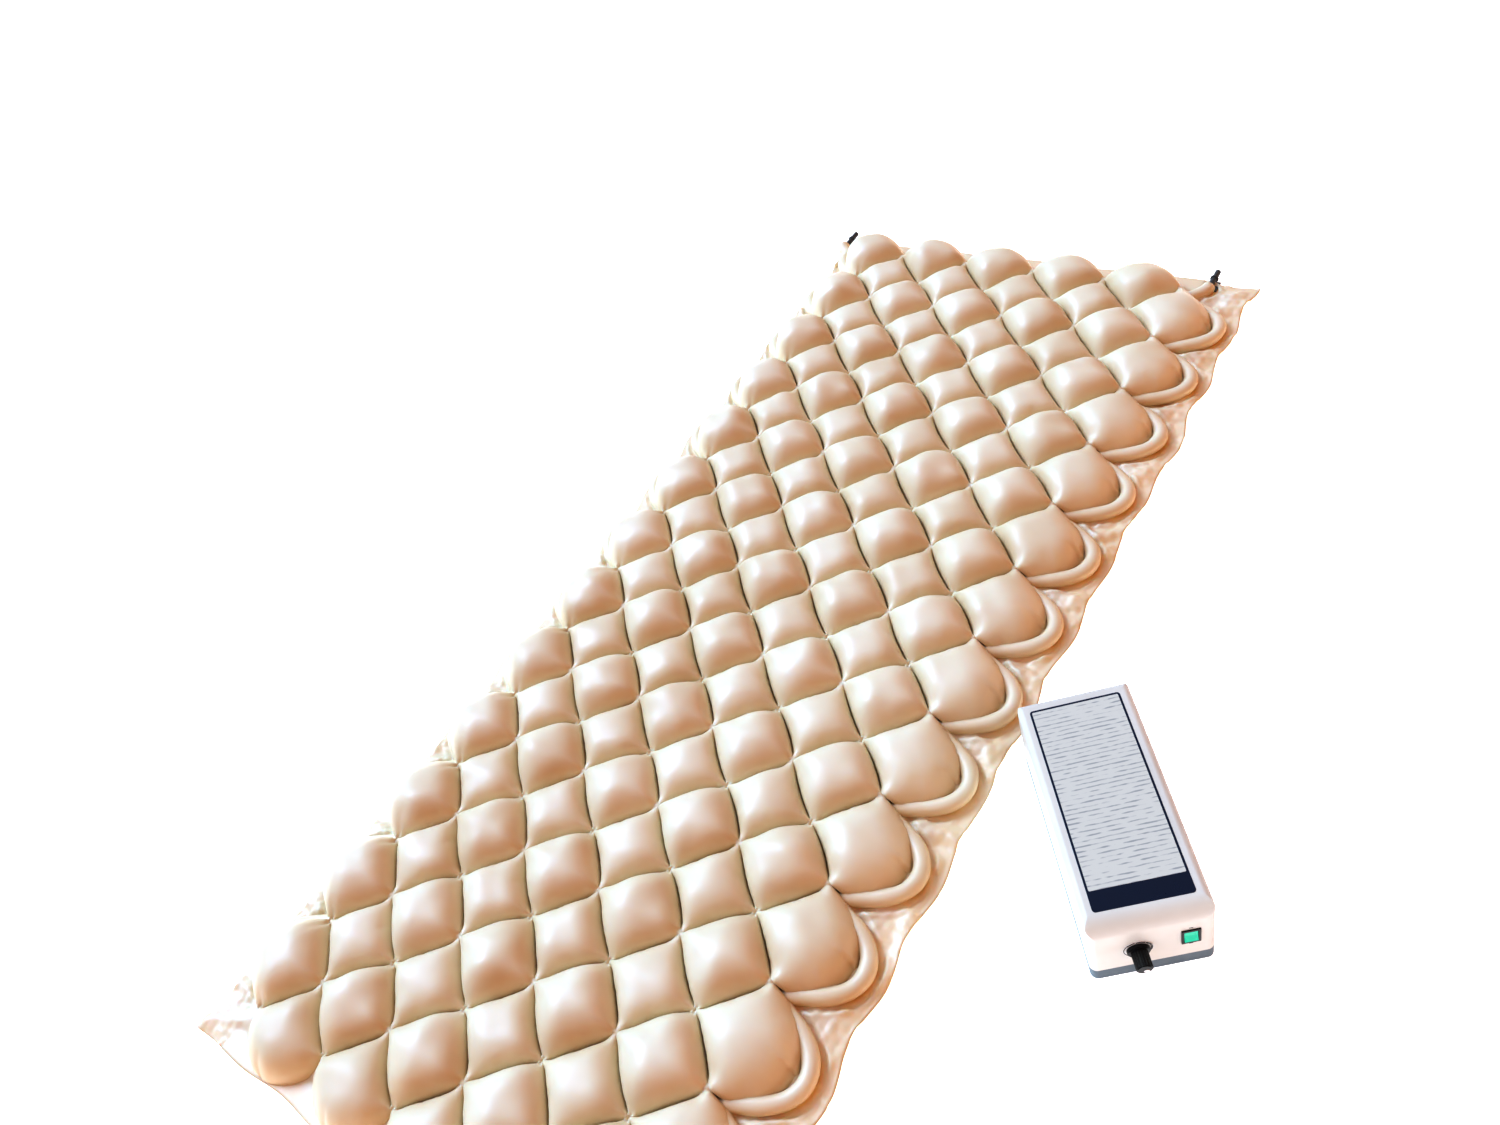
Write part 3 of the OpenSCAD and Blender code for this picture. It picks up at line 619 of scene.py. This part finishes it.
def underside(x, y, top):
    """The lower sheet: each bubble bulges down flat onto the floor between the seams."""
    p = (x + X_EDGE) / PITCH
    q = (y + Y_EDGE) / PITCH
    fu = p + q - 0.5 - np.round(p + q - 0.5)
    fv = q - p - 0.5 - np.round(q - p - 0.5)
    crown = np.sqrt(np.clip((1 - np.abs(2 * fu) ** 2.5) * (1 - np.abs(2 * fv) ** 2.5), 0, 1))
    pillow = (WELD_Z - 0.004) * np.clip(1 - 1.25 * crown, 0, 1)
    margin = np.maximum(ramp(np.abs(x), 0.37, 0.03), ramp(np.abs(y), 0.90, 0.02))
    lower = pillow * (1 - margin) + (top - 0.0012) * margin
    return np.maximum(np.minimum(lower, top - 0.0008), 0.0)


def make_mattress():
    skin = pvc_material("vinyl_bubbles", (0.81, 0.67, 0.44), (0.86, 0.745, 0.525))
    sheet_skin = pvc_material("vinyl_sheet", (0.78, 0.64, 0.42), (0.84, 0.72, 0.51))
    circuits = (("bubbles_a", a_centres(), TOP_A, FULL_A, 1, 100, "cells_a", "cells_a_pressure"),
                ("bubbles_b", b_centres(), TOP_B, FULL_B, -1, 500, "cells_b", "cells_b_pressure"))
    for name, centres, top, full, bow_sign, seed, node, joint in circuits:
        piece = bubbles(name, centres, top, full, bow_sign, seed)
        piece.data.materials.append(skin)
        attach(piece, "mattress")
        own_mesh(piece)
        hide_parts(node)
    for name, side, node in (("side_channel_a", -1, "manifold_a"), ("side_channel_b", 1, "manifold_b")):
        piece = channel(name, side)
        piece.data.materials.append(skin)
        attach(piece, "mattress")
        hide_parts(node)
    piece = pad_sheet()
    piece.data.materials.append(sheet_skin)
    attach(piece, "mattress")
    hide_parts("top_sheet", "bottom_sheet")


# ---------- the pump ----------
PUMP_TURN = math.radians(38)
PUMP_PLACE = Matrix.Translation((0.600, -0.180, 0)) @ Matrix.Rotation(PUMP_TURN, 4, "Z")
LABEL_TOP = 0.1203
PUMP_FRONT = -0.155
KNOB = Vector((-0.016, PUMP_FRONT, 0.061))
SWITCH = Vector((0.042, PUMP_FRONT, 0.067))


def pump_piece(name, points, faces, look, body="pump", slot="dial_print"):
    """A small piece drawn in the pump's own frame, then put where the pump stands."""
    placed = [PUMP_PLACE @ Vector(p) for p in points]
    piece = mesh_object(name, placed, faces, smooth=False, closed=True)
    piece.data.materials.append(look)
    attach(piece, body)
    return piece


def slab(outline, low, high, upright=False):
    """Points and faces of a flat piece: an outline in plan, or on the front face when upright."""
    count = len(outline)
    if upright:
        points = [(x, low, z) for x, z in outline] + [(x, high, z) for x, z in outline]
    else:
        points = [(x, y, low) for x, y in outline] + [(x, y, high) for x, y in outline]
    faces = [tuple(range(count)), tuple(range(count, 2 * count))]
    faces += [(n, (n + 1) % count, (n + 1) % count + count, n + count) for n in range(count)]
    return points, faces


def ring_part(centre, inner, outer, start, end, steps=10):
    """Outline of a stretch of ring on the pump's front, by clock angles in degrees."""
    angles = np.linspace(math.radians(start), math.radians(end), steps)
    outside = [(centre.x + outer * math.sin(a), centre.z + outer * math.cos(a)) for a in angles]
    inside = [(centre.x + inner * math.sin(a), centre.z + inner * math.cos(a)) for a in angles[::-1]]
    return outside + inside


def rounded_box(x0, x1, y0, y1, radius, steps=6):
    """Outline of a rectangle with rounded corners."""
    corners = ((x1 - radius, y1 - radius, 0), (x0 + radius, y1 - radius, 90),
               (x0 + radius, y0 + radius, 180), (x1 - radius, y0 + radius, 270))
    outline = []
    for cx, cy, first in corners:
        for a in np.linspace(math.radians(first), math.radians(first + 90), steps):
            outline.append((cx + radius * math.cos(a), cy + radius * math.sin(a)))
    return outline


def ruled_panel():
    """Pale label film with rows of faint grey dashes that spell nothing."""
    material, tree, shader = new_material("label_panel")
    coords = add_node(tree, "ShaderNodeTexCoord").outputs["Object"]
    turned = add_node(tree, "ShaderNodeMapping", {"Rotation": (0, 0, -PUMP_TURN)})
    tree.links.new(coords, turned.inputs["Vector"])
    rows = add_node(tree, "ShaderNodeTexWave", {"Scale": 52.0, "Distortion": 0.0}, bands_direction="Y")
    tree.links.new(turned.outputs["Vector"], rows.inputs["Vector"])
    dashes = add_node(tree, "ShaderNodeTexNoise", {"Scale": 90.0, "Detail": 4.0})
    stretch = add_node(tree, "ShaderNodeMapping", {"Scale": (0.7, 3.0, 1.0)})
    tree.links.new(turned.outputs["Vector"], stretch.inputs["Vector"])
    tree.links.new(stretch.outputs["Vector"], dashes.inputs["Vector"])
    both = add_node(tree, "ShaderNodeMath", operation="MULTIPLY")
    tree.links.new(rows.outputs["Fac"], both.inputs[0])
    tree.links.new(dashes.outputs["Fac"], both.inputs[1])
    tones = add_node(tree, "ShaderNodeValToRGB")
    film, print_grey = tones.color_ramp.elements
    film.position = 0.40
    print_grey.position = 0.56
    film.color = (0.66, 0.66, 0.63, 1)
    print_grey.color = (0.42, 0.43, 0.44, 1)
    tree.links.new(both.outputs["Value"], tones.inputs["Fac"])
    tree.links.new(tones.outputs["Color"], shader.inputs["Base Color"])
    shader.inputs["Roughness"].default_value = 0.32
    return material


def add_pump_prints():
    """The label's pale panel, the dial's marks, the switch's marks and the knob's white cap."""
    black = plastic_material("print_black", (0.02, 0.02, 0.022), 0.4, grain=0.02)
    white = plastic_material("cap_white", (0.80, 0.80, 0.80), 0.35, grain=0.03)
    panel = rounded_box(-0.0535, 0.0535, -0.108, 0.1385, 0.0015)
    pump_piece("label_panel", *slab(panel, LABEL_TOP - 0.0001, LABEL_TOP + 0.0002), ruled_panel(),
               slot="label_film")
    # start and end of each mark round the dial, and its width, which grows with the pressure
    marks = ((-140, -100, 0.0008), (-96, -56, 0.0010), (-52, -12, 0.0014),
             (-8, 32, 0.0018), (36, 76, 0.0022), (80, 120, 0.0026))
    dial_face = PUMP_FRONT - 0.0006
    radius = 0.0164
    for n, (start, end, width) in enumerate(marks):
        part = ring_part(KNOB, radius - width, radius, start, end)
        pump_piece(f"dial_mark_{n}", *slab(part, dial_face - 0.00015, dial_face + 0.0001, True), black)
    for name, height in (("upper_mark", 0.0185), ("lower_mark", -0.0185)):
        middle = SWITCH.z + height
        bar = rounded_box(SWITCH.x - 0.0022, SWITCH.x + 0.0022, middle - 0.0005, middle + 0.0005, 0.0003)
        pump_piece(name, *slab(bar, PUMP_FRONT - 0.00015, PUMP_FRONT + 0.0001, True), black)
    knob_tip = PUMP_FRONT - 0.025
    cap_x = KNOB.x + 0.0018
    cap_z = KNOB.z - 0.0034
    cap_radius = 0.0034
    angles = np.linspace(0, 2 * math.pi, 29)[:-1]
    disc = [(cap_x + cap_radius * math.cos(a), cap_z + cap_radius * math.sin(a)) for a in angles]
    pump_piece("knob_pointer", *slab(disc, knob_tip - 0.0004, knob_tip + 0.0002, True), white, body="knob")


def make_pump():
    looks = {
        "housing_white": plastic_material("warm_white_shell", (0.72, 0.71, 0.69), 0.42),
        "housing_slate": plastic_material("slate_base", (0.165, 0.215, 0.26), 0.45),
        "black_plastic": plastic_material("black_plastic", (0.012, 0.012, 0.014), 0.35, grain=0.06),
        "connector_plastic": plastic_material("connector_grey", (0.10, 0.105, 0.11), 0.4),
        "chamber_plastic": plastic_material("ivory_plastic", (0.68, 0.66, 0.58), 0.5),
        "arm_plastic": plastic_material("arm_plastic", (0.2, 0.24, 0.28), 0.5),
        "foot_rubber": plastic_material("rubber_black", (0.02, 0.02, 0.022), 0.8, grain=0.3),
        "diaphragm_rubber": plastic_material("diaphragm_rubber", (0.015, 0.015, 0.016), 0.7, grain=0.2),
        "silicone": plastic_material("silicone_clear", (0.75, 0.77, 0.76), 0.3, Transmission_Weight=0.3),
        "wire_blue": plastic_material("wire_sleeve", (0.02, 0.09, 0.35), 0.4),
        "filter_felt": plastic_material("filter_felt", (0.12, 0.12, 0.13), 0.95, 500.0, 0.8),
        "label_film": plastic_material("label_navy", (0.008, 0.014, 0.045), 0.3, grain=0.03),
        "dial_print": plastic_material("dial_white", (0.8, 0.8, 0.8), 0.35, grain=0.03),
        # the rocker's emission is a painted glow that brightens its green plastic
        "rocker_green": plastic_material("rocker_green", (0.02, 0.42, 0.30), 0.18, grain=0.02,
                                         Emission_Color=(0.02, 0.55, 0.40, 1), Emission_Strength=0.5,
                                         Transmission_Weight=0.25),
        "screw_steel": metal_material("screw_steel", (0.62, 0.62, 0.63), 0.3),
        "frame_steel": metal_material("frame_steel", (0.56, 0.57, 0.58), 0.4),
        "core_steel": metal_material("core_steel", (0.25, 0.25, 0.27), 0.5),
        "magnet_steel": metal_material("magnet_nickel", (0.7, 0.7, 0.68), 0.2),
        "coil_copper": metal_material("coil_copper", (0.66, 0.28, 0.13), 0.35),
    }
    slots = {row["node"]: row["material_slot"] for row in frame["record"]["subparts"]}
    for name, obj in NODES.items():
        look = looks.get(slots[name])
        if look:
            obj.data.materials.clear()
            obj.data.materials.append(look)
    add_pump_prints()


def add_lamps():
    """A cool window sun for the vinyl. A sun and a front fill, tinted for the pump's shell, for the rest."""
    mattress_side = bpy.data.collections.new("lit_vinyl")
    pump_side = bpy.data.collections.new("lit_pump")
    for obj in list(bpy.context.scene.collection.all_objects):
        if obj.type == "MESH":
            (mattress_side if obj.name in VINYL else pump_side).objects.link(obj)
    add_sun("window_sun", (-1.20, 0.08, 1.25), 1.75, 24, (0.64, 0.95, 1.46), mattress_side)
    add_sun("shell_sun", (-0.9, -0.2, 1.25), 1.15, 16, (0.96, 1.03, 0.84), pump_side)
    add_sun("shell_fill", (-0.1, -1.0, 0.55), 0.65, 60, (0.62, 1.0, 1.20), pump_side)


make_camera()
make_stage()
make_mattress()
make_pump()
add_lamps()
bpy.context.view_layer.update()
